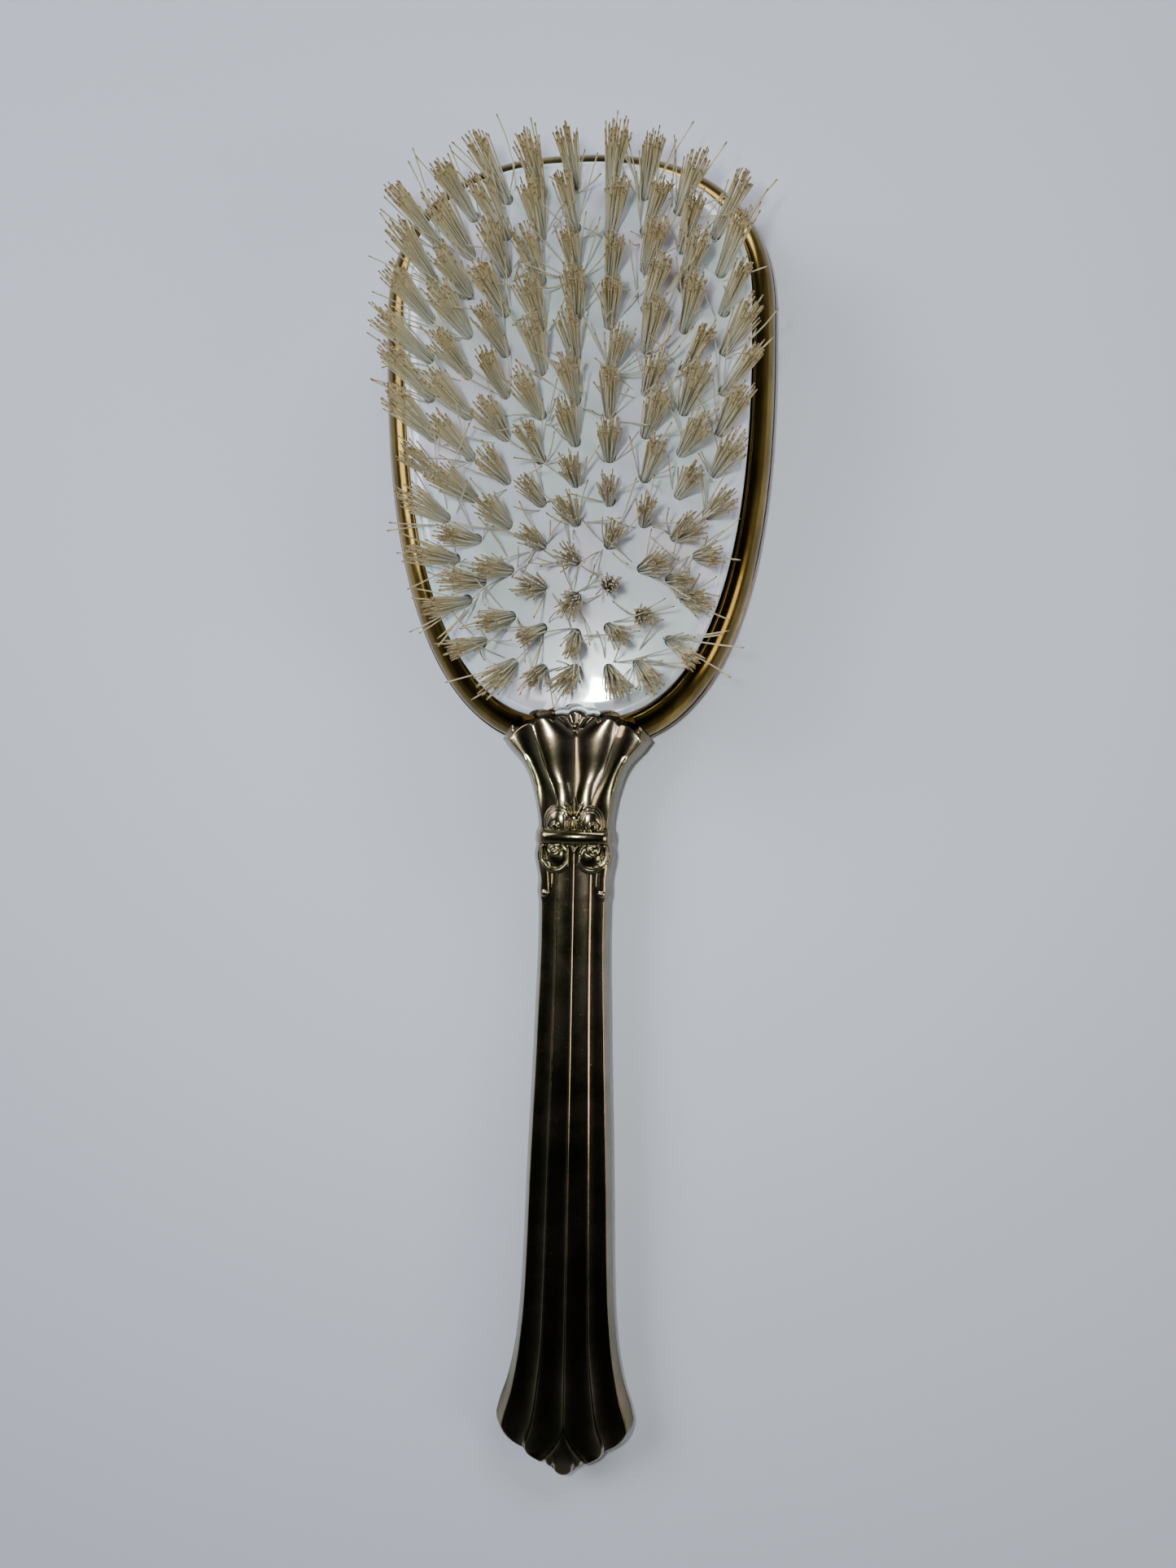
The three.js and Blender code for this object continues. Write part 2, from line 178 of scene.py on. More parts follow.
# Seat of the funnel on the frame: inset from the head's outline, height.
SEAT_INSET = (-0.6, 0, 0.5, 1.3, 2.4, 3.6, 4.2)
SEAT_Z = (PARTING_Z, 5.5, 6.5, 7.6, 8.7, 9.2, 9.3)

# Where the sides meet the scalloped top and tip, and where the ridges reach them.
TOP_CORNER_Y = 14.44
TIP_CORNER_Y = -106.97
RIDGE_TOP_Y = 18.0
RIDGE_TIP_Y = -113.0

# Camera: millimetres from the handle's middle line, degrees, and a lens on a 36 mm sensor.
CAMERA_PLACE = Vector((16.496, 7.374, 215.818))
CAMERA_TURN = (-0.138, 3.926, 1.099)
CAMERA_LENS = 27.09

# Floor and lights in metres: name, place, size, watts, colour. The near lamp is the small bright gleam.
FLOOR_HALF = 3.0
LIGHT_AIM = Vector((0, 0.02, 0))
LIGHTS = (("window", (-0.75, 0.4, 0.62), (0.6, 0.5), 9.0, "#eef1ff"),
          ("far_window", (0.4, 0.95, 0.66), (0.7, 0.35), 7.0, "#f1f4ff"),
          ("doorway", (0.85, -0.15, 0.5), (0.35, 0.35), 2.5, "#fff3e2"),
          ("near_lamp", (-0.0045, 0.021, 0.23), (0.016, 0.012), 0.4, "#eff6f4"))


# ---------------------------------------------------------------- numbers

def linear(code):
    """sRGB hex to the linear colour a shader wants."""
    parts = [int(code[i:i + 2], 16) / 255 for i in (1, 3, 5)]
    straight = [c / 12.92 if c <= 0.04045 else ((c + 0.055) / 1.055) ** 2.4 for c in parts]
    return tuple(straight) + (1.0,)


def smooth_curve(x, xs, ys):
    """Curve through stations with no overshoot, stations in falling or rising order."""
    xs = np.asarray(xs, float)
    ys = np.asarray(ys, float)
    if xs[0] > xs[-1]:
        xs, ys = xs[::-1], ys[::-1]
    step = np.diff(xs)
    rise = np.diff(ys) / step
    slope = np.zeros_like(ys)
    same = rise[:-1] * rise[1:] > 0
    mean = 2 * rise[:-1] * rise[1:] / np.where(same, rise[:-1] + rise[1:], 1)
    slope[1:-1] = np.where(same, mean, 0)
    slope[0], slope[-1] = rise[0], rise[-1]
    x = np.clip(x, xs[0], xs[-1])
    k = np.clip(np.searchsorted(xs, x) - 1, 0, len(step) - 1)
    t = (x - xs[k]) / step[k]
    return ((1 + 2 * t) * (1 - t) ** 2 * ys[k] + t * (1 - t) ** 2 * step[k] * slope[k]
            + t * t * (3 - 2 * t) * ys[k + 1] + t * t * (t - 1) * step[k] * slope[k + 1])


def half_round(distance, half, height):
    """Bead of that half width and height across a distance."""
    return height * np.sqrt(np.clip(1 - (distance / half) ** 2, 0, None))


def blend_step(x, low, high):
    """Smooth climb from 0 at low to 1 at high."""
    t = np.clip((x - low) / (high - low), 0, 1)
    return t * t * (3 - 2 * t)


def head_point(cos, sin, inset, fraction=1.0):
    """Egg curve by direction, drawn in by an inset."""
    above = sin > 0
    reach = np.where(above, HEAD_REACH[0], HEAD_REACH[1]) - inset
    power = 2 / np.where(above, HEAD_POWER[0], HEAD_POWER[1])
    x = (HEAD_HALF_WIDTH - inset) * np.sign(cos) * np.abs(cos) ** power
    y = reach * np.sign(sin) * np.abs(sin) ** power
    return x * fraction, HEAD_MID + y * fraction


def dome_fraction(x, y):
    """How far out on the block a point lies: 0 at its middle, 1 at its edge."""
    above = y > HEAD_MID
    reach = (HEAD_REACH[0] if above else HEAD_REACH[1]) - BLOCK_INSET
    power = HEAD_POWER[0] if above else HEAD_POWER[1]
    across = abs(x / (HEAD_HALF_WIDTH - BLOCK_INSET)) ** power
    return (across + abs((y - HEAD_MID) / reach) ** power) ** (1 / power)


def dome_height(x, y):
    """Height of the block's top at a point."""
    return DOME_TOP - DOME_DROP * dome_fraction(x, y) ** 2


# ---------------------------------------------------------------- pieces

def get_co(mesh):
    co = np.empty(len(mesh.vertices) * 3)
    mesh.vertices.foreach_get("co", co)
    return co.reshape(-1, 3)


def set_co(mesh, co):
    mesh.vertices.foreach_set("co", np.ascontiguousarray(co, dtype=np.float32).ravel())
    mesh.update()


def askew():
    """Turn of the head about its point on the handle's middle line."""
    centre = Matrix.Translation((0, LEAN_CENTRE_Y, 0))
    return centre @ Matrix.Rotation(LEAN, 4, "Z") @ centre.inverted()


def finish_piece(name, mesh, material, nodes, sharp=40, head=True):
    """Object from a mesh in millimetres, riding on the brush and standing for its solid nodes."""
    if head:
        mesh.transform(askew())
    mesh.transform(Matrix.Scale(MM, 4) @ Matrix.Translation(SHIFT))
    mesh.polygons.foreach_set("use_smooth", [True] * len(mesh.polygons))
    if sharp:
        mesh.set_sharp_from_angle(angle=math.radians(sharp))
    mesh.materials.clear()
    mesh.materials.append(material)
    piece = bpy.data.objects.new(name, mesh)
    bpy.context.scene.collection.objects.link(piece)
    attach(piece, "root")
    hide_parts(*nodes)
    return piece


def to_mesh(bm, name):
    mesh = bpy.data.meshes.new(name)
    bm.to_mesh(mesh)
    bm.free()
    return mesh


def egg(mesh, disc_inset=None):
    """Carries a spun ring, or a disc with its edge at an inset, onto the head's egg outline."""
    co = get_co(mesh)
    radius = np.hypot(co[:, 0], co[:, 1])
    safe = np.where(radius > 1e-9, radius, 1)
    cos, sin = co[:, 0] / safe, co[:, 1] / safe
    if disc_inset is None:
        x, y = head_point(cos, sin, SPIN_RADIUS - radius)
    else:
        field = SPIN_RADIUS - BLOCK_RIM
        inset = disc_inset + np.clip(SPIN_RADIUS - radius, 0, BLOCK_RIM)
        x, y = head_point(cos, sin, inset, np.clip(radius / field, 0, 1))
        x = np.where(radius > 1e-9, x, 0)
        y = np.where(radius > 1e-9, y, HEAD_MID)
    set_co(mesh, np.stack([x, y, co[:, 2]], 1))


def spun(section, steps, closed, start=0.0, turn=2 * math.pi):
    """Section of radius and height spun about the upright axis."""
    bm = bmesh.new()
    verts = [bm.verts.new((r * math.cos(start), r * math.sin(start), z)) for r, z in section]
    pairs = list(zip(verts, verts[1:]))
    if closed:
        pairs.append((verts[-1], verts[0]))
    edges = [bm.edges.new(pair) for pair in pairs]
    full = abs(turn - 2 * math.pi) < 1e-6
    bmesh.ops.spin(bm, geom=verts + edges, cent=(0, 0, 0), axis=(0, 0, 1), angle=turn, steps=steps,
                   use_merge=full, use_duplicate=False)
    if full:
        bmesh.ops.remove_doubles(bm, verts=bm.verts, dist=1e-5)
    else:
        rims = [e for e in bm.edges if e.is_boundary]
        bmesh.ops.edgeloop_fill(bm, edges=rims)
    bmesh.ops.recalc_face_normals(bm, faces=bm.faces)
    return bm


def arc(centre, radii, low, high, count):
    """Points along an arc of an ellipse, angles in degrees."""
    angles = [math.radians(low + (high - low) * i / count) for i in range(count + 1)]
    across, up = radii
    return [(centre[0] + across * math.cos(a), centre[1] + up * math.sin(a)) for a in angles]


# ---------------------------------------------------------------- materials

def new_material(name):
    material = bpy.data.materials.new(name)
    material.use_nodes = True
    material.node_tree.nodes.clear()
    return material, material.node_tree


def add_node(tree, kind, settings=None, links=None):
    """One shader node with its settings and incoming links."""
    node = tree.nodes.new(kind)
    for key, value in (settings or {}).items():
        if key == "ramp":
            ramp = node.color_ramp
            while len(ramp.elements) > len(value):
                ramp.elements.remove(ramp.elements[-1])
            while len(ramp.elements) < len(value):
                ramp.elements.new(0.5)
            for element, (at, colour) in zip(ramp.elements, value):
                element.position = at
                element.color = colour
        elif isinstance(key, int) or key in node.inputs:
            node.inputs[key].default_value = value
        else:
            setattr(node, key, value)
    for key, source in (links or {}).items():
        tree.links.new(source, node.inputs[key])
    return node


def close_material(tree, shader):
    add_node(tree, "ShaderNodeOutputMaterial", links={"Surface": shader.outputs["BSDF"]})


def gilt_frame_material():
    """Gilt brass, rolled and lacquered: olive-brown mirror, golden where the gilt is still bright."""
    material, tree = new_material("gilt_brass_lacquered")
    place = add_node(tree, "ShaderNodeTexCoord").outputs["Object"]
    where = add_node(tree, "ShaderNodeMapping", {"Scale": (1.0, 0.3, 1.0)}, {"Vector": place}).outputs[0]
    tarnish = add_node(tree, "ShaderNodeTexNoise", {"Scale": 110.0, "Detail": 6.0, "Roughness": 0.6},
                       {"Vector": where})
    tone = add_node(tree, "ShaderNodeValToRGB", {"ramp": [
        (0.34, linear("#4a3d20")), (0.52, linear("#6e5a2c")), (0.7, linear("#a38845"))]},
        {"Fac": tarnish.outputs["Fac"]})
    fine = add_node(tree, "ShaderNodeTexNoise", {"Scale": 900.0, "Detail": 3.0}, {"Vector": where})
    rough = add_node(tree, "ShaderNodeMapRange", {"To Min": 0.1, "To Max": 0.24},
                     {"Value": tarnish.outputs["Fac"]})
    bump = add_node(tree, "ShaderNodeBump", {"Strength": 0.12, "Distance": 0.00005},
                    {"Height": fine.outputs["Fac"]})
    shader = add_node(tree, "ShaderNodeBsdfPrincipled", {"Metallic": 1.0}, {
        "Base Color": tone.outputs["Color"], "Roughness": rough.outputs["Result"],
        "Normal": bump.outputs["Normal"]})
    close_material(tree, shader)
    return material


def plated_handle_material():
    """Silver-plated stamping gone brown and green: polished on the high points, dark in the recesses."""
    material, tree = new_material("silver_plate_tarnished")
    where = add_node(tree, "ShaderNodeTexCoord").outputs["Object"]
    cloud = add_node(tree, "ShaderNodeTexNoise", {"Scale": 90.0, "Detail": 8.0, "Roughness": 0.65},
                     {"Vector": where})
    tone = add_node(tree, "ShaderNodeValToRGB", {"ramp": [
        (0.28, linear("#6c7052")), (0.45, linear("#827b5a")), (0.6, linear("#9c8a74")),
        (0.75, linear("#87836a"))]}, {"Fac": cloud.outputs["Fac"]})
    recess = add_node(tree, "ShaderNodeAttribute", {"attribute_name": "recess"})
    shade = add_node(tree, "ShaderNodeMapRange", {"To Min": 0.0, "To Max": 0.85},
                     {"Value": recess.outputs["Fac"]})
    colour = add_node(tree, "ShaderNodeMix", {"data_type": "RGBA", 7: linear("#15130d")},
                      {"Factor": shade.outputs["Result"], 6: tone.outputs["Color"]})
    pits = add_node(tree, "ShaderNodeTexNoise", {"Scale": 2600.0, "Detail": 2.0}, {"Vector": where})
    specks = add_node(tree, "ShaderNodeMapRange", {"From Min": 0.6, "From Max": 0.8, "To Max": 0.1},
                      {"Value": pits.outputs["Fac"]})
    rough = add_node(tree, "ShaderNodeMapRange", {"To Min": 0.1, "To Max": 0.24},
                     {"Value": cloud.outputs["Fac"]})
    total = add_node(tree, "ShaderNodeMath", {"operation": "ADD"},
                     {0: rough.outputs["Result"], 1: specks.outputs["Result"]})
    bump = add_node(tree, "ShaderNodeBump", {"Strength": 0.16, "Distance": 0.00003},
                    {"Height": pits.outputs["Fac"]})
    shader = add_node(tree, "ShaderNodeBsdfPrincipled", {"Metallic": 1.0}, {
        "Base Color": colour.outputs[2], "Roughness": total.outputs["Value"],
        "Normal": bump.outputs["Normal"]})
    close_material(tree, shader)
    return material


def pearl_material(name, dark):
    """Pearlised acrylic, moulded and polished: clouded white with faint rose, violet and green."""
    material, tree = new_material(name)
    where = add_node(tree, "ShaderNodeTexCoord").outputs["Object"]
    cloud = add_node(tree, "ShaderNodeTexNoise", {"Scale": 85.0, "Detail": 3.0, "Distortion": 0.6},
                     {"Vector": where})
    tone = add_node(tree, "ShaderNodeValToRGB", {"ramp": [
        (0.3, linear("#bccbca")), (0.45, linear("#c6d0d4")), (0.58, linear("#cacbdc")),
        (0.72, linear("#d8cbd2"))]}, {"Fac": cloud.outputs["Fac"]})
    marks = add_node(tree, "ShaderNodeTexNoise", {"Scale": 600.0, "Detail": 4.0}, {"Vector": where})
    colour = add_node(tree, "ShaderNodeMix", {"data_type": "RGBA", "Factor": dark, 7: linear("#c3cbd0")},
                      {6: tone.outputs["Color"]})
    bump = add_node(tree, "ShaderNodeBump", {"Strength": 0.05, "Distance": 0.00005},
                    {"Height": marks.outputs["Fac"]})
    rough = add_node(tree, "ShaderNodeMapRange", {"To Min": 0.16, "To Max": 0.3},
                     {"Value": marks.outputs["Fac"]})
    shader = add_node(tree, "ShaderNodeBsdfPrincipled", {
        "IOR": 1.49, "Coat Weight": 0.9, "Coat Roughness": 0.04}, {
        "Base Color": colour.outputs[2], "Roughness": rough.outputs["Result"],
        "Normal": bump.outputs["Normal"]})
    close_material(tree, shader)
    return material


def filament_material():
    """Drawn nylon filament: translucent fawn, browner towards the cut tip, dark at the root as painted
    shade.
    """
    material, tree = new_material("nylon_filament_drawn")
    along = add_node(tree, "ShaderNodeAttribute", {"attribute_name": "along"})
    # the first, near-black stop is painted shade: it darkens the filament where it sits down in its hole
    # in the block
    tone = add_node(tree, "ShaderNodeValToRGB", {"ramp": [
        (0.0, linear("#4d4b42")), (0.17, linear("#c6c7bd")), (0.55, linear("#d2cdb6")),
        (0.95, linear("#c4b68c")), (0.99, linear("#6d5738"))]}, {"Fac": along.outputs["Fac"]})
    shade = add_node(tree, "ShaderNodeAttribute", {"attribute_name": "shade"})
    factor = add_node(tree, "ShaderNodeMapRange", {"To Min": 0.0, "To Max": 0.4},
                      {"Value": shade.outputs["Fac"]})
    colour = add_node(tree, "ShaderNodeMix", {"data_type": "RGBA", 7: linear("#a89a74")},
                      {"Factor": factor.outputs["Result"], 6: tone.outputs["Color"]})
    shader = add_node(tree, "ShaderNodeBsdfPrincipled", {
        "Roughness": 0.42, "IOR": 1.53, "Subsurface Weight": 0.35, "Subsurface Scale": 0.0004,
        "Subsurface Radius": (1.0, 0.85, 0.6)},
                      {"Base Color": colour.outputs[2]})
    close_material(tree, shader)
    return material


def plain_material(name, low, high, scale, rough, metallic=0.0, bump_mm=0.02):
    """Inner or back part: one clouded colour with a fine grain."""
    material, tree = new_material(name)
    where = add_node(tree, "ShaderNodeTexCoord").outputs["Object"]
    grain = add_node(tree, "ShaderNodeTexNoise", {"Scale": scale, "Detail": 5.0}, {"Vector": where})
    tone = add_node(tree, "ShaderNodeValToRGB", {"ramp": [(0.35, linear(low)), (0.65, linear(high))]},
                    {"Fac": grain.outputs["Fac"]})
    roughness = add_node(tree, "ShaderNodeMapRange", {"To Min": rough - 0.06, "To Max": rough + 0.06},
                         {"Value": grain.outputs["Fac"]})
    bump = add_node(tree, "ShaderNodeBump", {"Strength": 0.3, "Distance": bump_mm * MM},
                    {"Height": grain.outputs["Fac"]})
    shader = add_node(tree, "ShaderNodeBsdfPrincipled", {"Metallic": metallic}, {
        "Base Color": tone.outputs["Color"], "Roughness": roughness.outputs["Result"],
        "Normal": bump.outputs["Normal"]})
    close_material(tree, shader)
    return material


# ---------------------------------------------------------------- head

def bezel_section():
    """Frame section: upright foot, rolled convex band, thin bead at the lip, thin wall behind."""
    points = [(0.12, 3.7), (0.0, 3.82), (0.0, 4.45), (0.08, 4.58), (0.2, 4.62)]
    points += [(3.95 - x, z) for x, z in arc((0, 4.62), (3.72, 4.3), 4, 86, 18)]
    points += [(3.76, 8.84)]
    points += [(4.02 - x, z) for x, z in arc((0, 8.9), (0.24, 0.26), 170, 10, 8)]
    points += [(4.25, 8.7), (4.25, 8.0), (2.9, 7.2), (1.9, 6.1), (1.2, 4.9), (0.95, 3.7)]
    return [(SPIN_RADIUS - inset, z) for inset, z in points]


def build_bezel(material):
    """Gilt frame round the head, open where the handle laps it."""
    bm = spun(bezel_section(), FRAME_STEPS, True, -math.pi / 2 + FRAME_GAP, 2 * math.pi - 2 * FRAME_GAP)
    mesh = to_mesh(bm, "bezel")
    egg(mesh)
    finish_piece("frame_band", mesh, material, ["bezel_rim"])


def build_tray(material):
    """Stamped back of the head: rounded side down to the flat ring that it rests on."""
    section = [(0.3, TRAY_RIM_Z), (0.3, 3.2)]
    section += [(5.0 - x, z) for x, z in arc((0, 3.2), (4.7, 3.05), 0, -80, 12)]
    section += [(7.0, 0.0), (11.6, 0.0), (11.9, 0.1), (12.0, 0.35), (12.0, 0.8), (7.0, 0.8)]
    section += [(4.9, 1.1), (3.0, 1.7), (1.7, 2.5), (1.2, 3.2), (1.2, TRAY_RIM_Z)]
    bm = spun([(SPIN_RADIUS - inset, z) for inset, z in section], TRAY_STEPS, True)
    mesh = to_mesh(bm, "tray")
    egg(mesh)
    finish_piece("back_shell", mesh, material, ["back_tray"])


def funnel_notch(bm):
    """Room for the handle's top: its scalloped outline, a little larger, raised through the block."""
    steps = 60
    made = bmesh.ops.create_grid(bm, x_segments=steps, y_segments=1, size=1.0)["verts"]
    turn = askew().inverted()
    for vert in made:
        x = vert.co.x * NOTCH_HALF
        top = float(funnel_edge(np.array(x))) + NOTCH_GAP
        vert.co = turn @ Vector((x, top if vert.co.y > 0 else NOTCH_LOW_Y, NOTCH_FOOT))
    faces = list(dict.fromkeys(face for vert in made for face in vert.link_faces))
    raised = bmesh.ops.extrude_face_region(bm, geom=faces)["geom"]
    verts = [item for item in raised if isinstance(item, bmesh.types.BMVert)]
    bmesh.ops.translate(bm, verts=verts, vec=(0, 0, NOTCH_RISE))
    bmesh.ops.recalc_face_normals(bm, faces=bm.faces)


def block_section():
    """Block from its middle out: dome, shallow groove, rolled rim, upright side and flat underside."""
    field = SPIN_RADIUS - BLOCK_RIM
    section = [(f * field, DOME_TOP - DOME_DROP * f * f) for f in np.linspace(0, 1, 50)]
    section += [(SPIN_RADIUS - 1.5, 13.1), (SPIN_RADIUS - 1.32, 12.93), (SPIN_RADIUS - 1.2, 12.95)]
    section += arc((SPIN_RADIUS - 1.1, 11.7), (1.1, 1.32), 84, 0, 14)
    return section + [(SPIN_RADIUS, 3.9), (SPIN_RADIUS - 0.5, BLOCK_FOOT), (0, BLOCK_FOOT)]


def build_block(material):
    """Pearlised block, drilled for each tuft and notched for the handle."""
    mesh = to_mesh(spun(block_section(), BLOCK_STEPS, False), "block")
    egg(mesh, BLOCK_INSET)
    block = bpy.data.objects.new("block", mesh)
    bpy.context.scene.collection.objects.link(block)
    drill = bmesh.new()
    rows = range(-ROWS_EACH_SIDE, ROWS_EACH_SIDE + 1)
    for tuft in [t for row in rows for t in row_tufts(row)]:
        turn = Vector((0, 0, 1)).rotation_difference(tuft_axis(tuft)).to_matrix().to_4x4()
        place = Matrix.Translation(Vector(tuft)) @ turn
        bmesh.ops.create_cone(drill, cap_ends=True, segments=18, radius1=HOLE_RADIUS,
                              radius2=HOLE_RADIUS, depth=HOLE_LENGTH, matrix=place)
    funnel_notch(drill)
    cutter = bpy.data.objects.new("drill", to_mesh(drill, "drill"))
    bpy.context.scene.collection.objects.link(cutter)
    cut = block.modifiers.new("holes", "BOOLEAN")
    cut.object = cutter
    cut.solver = "EXACT"
    bpy.context.view_layer.update()
    graph = bpy.context.evaluated_depsgraph_get()
    done = bpy.data.meshes.new_from_object(block.evaluated_get(graph))
    for spare in (block, cutter):
        bpy.data.objects.remove(spare)
    finish_piece("pearl_block", done, material, ["bristle_block"], sharp=50)


def build_panel(material):
    """Pearlised inlay in the back, hollowed a little towards its middle."""
    section = [(f * SPIN_RADIUS, 0.75 - 0.25 * (1 - f * f)) for f in np.linspace(0, 0.97, 16)]
    section += [(SPIN_RADIUS, 1.1), (SPIN_RADIUS, 2.6), (0, 2.6)]
    mesh = to_mesh(spun(section, PANEL_STEPS, False), "panel")
    egg(mesh, PANEL_INSET)
    finish_piece("back_inlay", mesh, material, ["back_panel"])


# ---------------------------------------------------------------- bristles

def row_tufts(row):
    """Where each tuft of a row leaves the block."""
    n = abs(row)
    middle = ROW_PITCH * row + ROW_SPREAD * row * n
    tufts = []
    for i in range(ROW_TUFTS[n]):
        t = i / (ROW_TUFTS[n] - 1)
        y = ROW_LOW[n] + (ROW_HIGH[n] - ROW_LOW[n]) * (t + ROW_CROWDING[n] * t * (1 - t))
        x = middle * (1 - ROW_BOW * n * n * ((y - ROW_CENTRE_Y) / ROW_BOW_REACH) ** 2)
        tufts.append((x, y, dome_height(x, y)))
    return tufts


def tuft_axis(tuft):
    """Direction of a tuft: outward from the middle row, and over towards the nearer end."""
    side = FAN_SIDE[0] * math.tanh(tuft[0] / FAN_SIDE[1])
    along = FAN_ALONG[0] + FAN_ALONG[1] * math.tanh((tuft[1] - FAN_ALONG[2]) / FAN_ALONG[3])
    return Vector((side, along, 1)).normalized()


def filament_template(sides, rings):
    """Unit filament: a many-sided rod of radius 1 from height 0 to 1."""
    bm = bmesh.new()
    bmesh.ops.create_circle(bm, cap_ends=False, segments=sides, radius=1)
    edges = list(bm.edges)
    bmesh.ops.contextual_create(bm, geom=edges)
    for _ in range(rings):
        grown = bmesh.ops.extrude_edge_only(bm, edges=edges)["geom"]
        verts = [g for g in grown if isinstance(g, bmesh.types.BMVert)]
        edges = [g for g in grown if isinstance(g, bmesh.types.BMEdge)]
        edges = [e for e in edges if all(v in verts for v in e.verts)]
        bmesh.ops.translate(bm, verts=verts, vec=(0, 0, 1 / rings))
    bmesh.ops.contextual_create(bm, geom=edges)
    bmesh.ops.recalc_face_normals(bm, faces=bm.faces)
    return to_mesh(bm, "filament")


def filament_specs(row, rng, count, radius):
    """Start, end, bend, radius and shade of every filament in a row."""
    specs = []
    for tuft in row_tufts(row):
        axis = tuft_axis(tuft)
        spread = rng.uniform(*TUFT_OPENS)
        tilt = Vector((rng.gauss(0, 0.05), rng.gauss(0, 0.05), 0))
        strays = rng.choice(STRAY_COUNTS)
        reach = (TIP_Z - tuft[2]) / axis.z * rng.uniform(0.98, 1.0)
        for k in range(count):
            ring = math.sqrt((k + 0.5) / count) * BUNDLE_RADIUS
            turn = k * GOLDEN_TURN + rng.uniform(-0.25, 0.25)
            root = Vector((ring * math.cos(turn), ring * math.sin(turn), 0))
            tip = root * spread + Vector((rng.gauss(0, 0.3), rng.gauss(0, 0.3), 0))
            bend = Vector((rng.gauss(0, 0.25), rng.gauss(0, 0.25), 0))
            length = reach * rng.uniform(0.9, 1.0)
            if k >= count - strays:
                side = rng.uniform(0, 2 * math.pi)
                out = rng.uniform(*STRAY_OUT)
                tip += Vector((math.cos(side) * out, math.sin(side) * out, 0))
                length = math.sqrt(max(length ** 2 - (out * 0.9) ** 2, 16)) * rng.uniform(0.85, 1.0)
                bend = Vector((rng.gauss(0, 0.9), rng.gauss(0, 0.9), 0))
            start = Vector(tuft) + root - axis * ROOT_DEPTH
            end = Vector(tuft) + tip + axis * length + tilt * length
            end.x = max(-TIP_LIMIT[0], min(TIP_LIMIT[0], end.x))
            end.y = min(TIP_LIMIT[1], end.y)
            specs.append((start, end, bend, radius * rng.uniform(0.9, 1.08), rng.random()))
    return specs


def mark_points(mesh, name, values):
    """Stores one number on each point for a material to read."""
    layer = mesh.attributes.new(name, "FLOAT", "POINT")
    layer.data.foreach_set("value", np.ascontiguousarray(values, dtype=np.float32))


def build_row(index, template, material, count, radius):
    """One row of tufts: the unit filament repeated and carried onto each bent line."""
    specs = filament_specs(index - ROWS_EACH_SIDE, random.Random(FIRST_SEED + index), count, radius)
    bm = bmesh.new()
    for _ in specs:
        bm.from_mesh(template)
    mesh = to_mesh(bm, "row")
    unit = get_co(template)
    per = len(unit)
    t = np.tile(unit[:, 2], len(specs))[:, None]
    start, end, bend = (np.repeat(np.array([tuple(s[i]) for s in specs]), per, 0) for i in range(3))
    size = np.repeat(np.array([s[3] for s in specs]), per)[:, None]
    axis = end - start
    axis /= np.linalg.norm(axis, axis=1)[:, None]
    u = np.cross(axis, np.array([0.0, 1.0, 0.0]))
    u /= np.linalg.norm(u, axis=1)[:, None]
    v = np.cross(axis, u)
    flat = np.tile(unit[:, :2], (len(specs), 1))
    line = start + (end - start) * t + bend * (t * (1 - t) * 4 * 0.35)
    co = line + (u * flat[:, :1] + v * flat[:, 1:]) * size
    co[:, 2] = np.clip(co[:, 2], FILAMENT_LOW_Z, FILAMENT_HIGH_Z)
    set_co(mesh, co)
    mark_points(mesh, "along", t.ravel())
    mark_points(mesh, "shade", np.repeat(np.array([s[4] for s in specs]), per))
    finish_piece(f"tufts_{index + 1}", mesh, material, [f"bristle_row_{index + 1}"], sharp=60)


# ---------------------------------------------------------------- handle

def funnel_edge(x):
    """Top of the handle in plan: three palmette lobes, then an inner and an outer lobe each side."""
    a = np.abs(x)
    middle = 18.95 + 1.1 * np.sqrt(np.clip(1 - (a / 1.83) ** 2, 0, None))
    side = 18.6 + 0.8 * np.sqrt(np.clip(1 - ((a - 2.7) / 1.75) ** 2, 0, None))
    inner = 17.9 + 1.05 * np.sqrt(np.clip(1 - ((a - 5.7) / 2.3) ** 2, 0, None))
    outer = 14.9 + 3.1 * (1 - ((a - 8.2) / 4.9) ** 2)
    lower = np.where(a < 8.0, inner, outer)
    return np.where(a < 4.2, np.maximum(middle, side), lower)


def fan_edge(x):
    """Tip of the handle in plan: a small pointed bud between two lobes each side."""
    a = np.abs(x)
    tip = -116.0 - 1.5 * np.sqrt(np.clip(1 - (a / 1.95) ** 2, 0, None))
    bump = -115.0 - 1.0 * np.sqrt(np.clip(1 - ((a - 1.9) / 1.45) ** 2, 0, None))
    inner = -112.6 - 2.45 * np.sqrt(np.clip(1 - ((a - 3.6) / 3.75) ** 2, 0, None))
    outer = -106.6 - 6.0 * np.sqrt(np.clip(1 - ((a - 7.0) / 5.36) ** 2, 0, None))
    return np.where(a < 1.9, tip, np.where(a < 3.3, bump, np.where(a < 7.35, inner, outer)))


def collar_swell(y):
    """Bulge of the ring round the handle."""
    return half_round(y - COLLAR_Y, COLLAR_HALF, 1.0)


def side_half(y):
    """Half width of the handle at the seam."""
    return smooth_curve(y, SIDE_Y, SIDE_X) + 0.5 * collar_swell(y)


def ridge_half(y):
    """Distance of the outer ridges from the middle one."""
    return smooth_curve(y, RIDGE_Y, RIDGE_X)


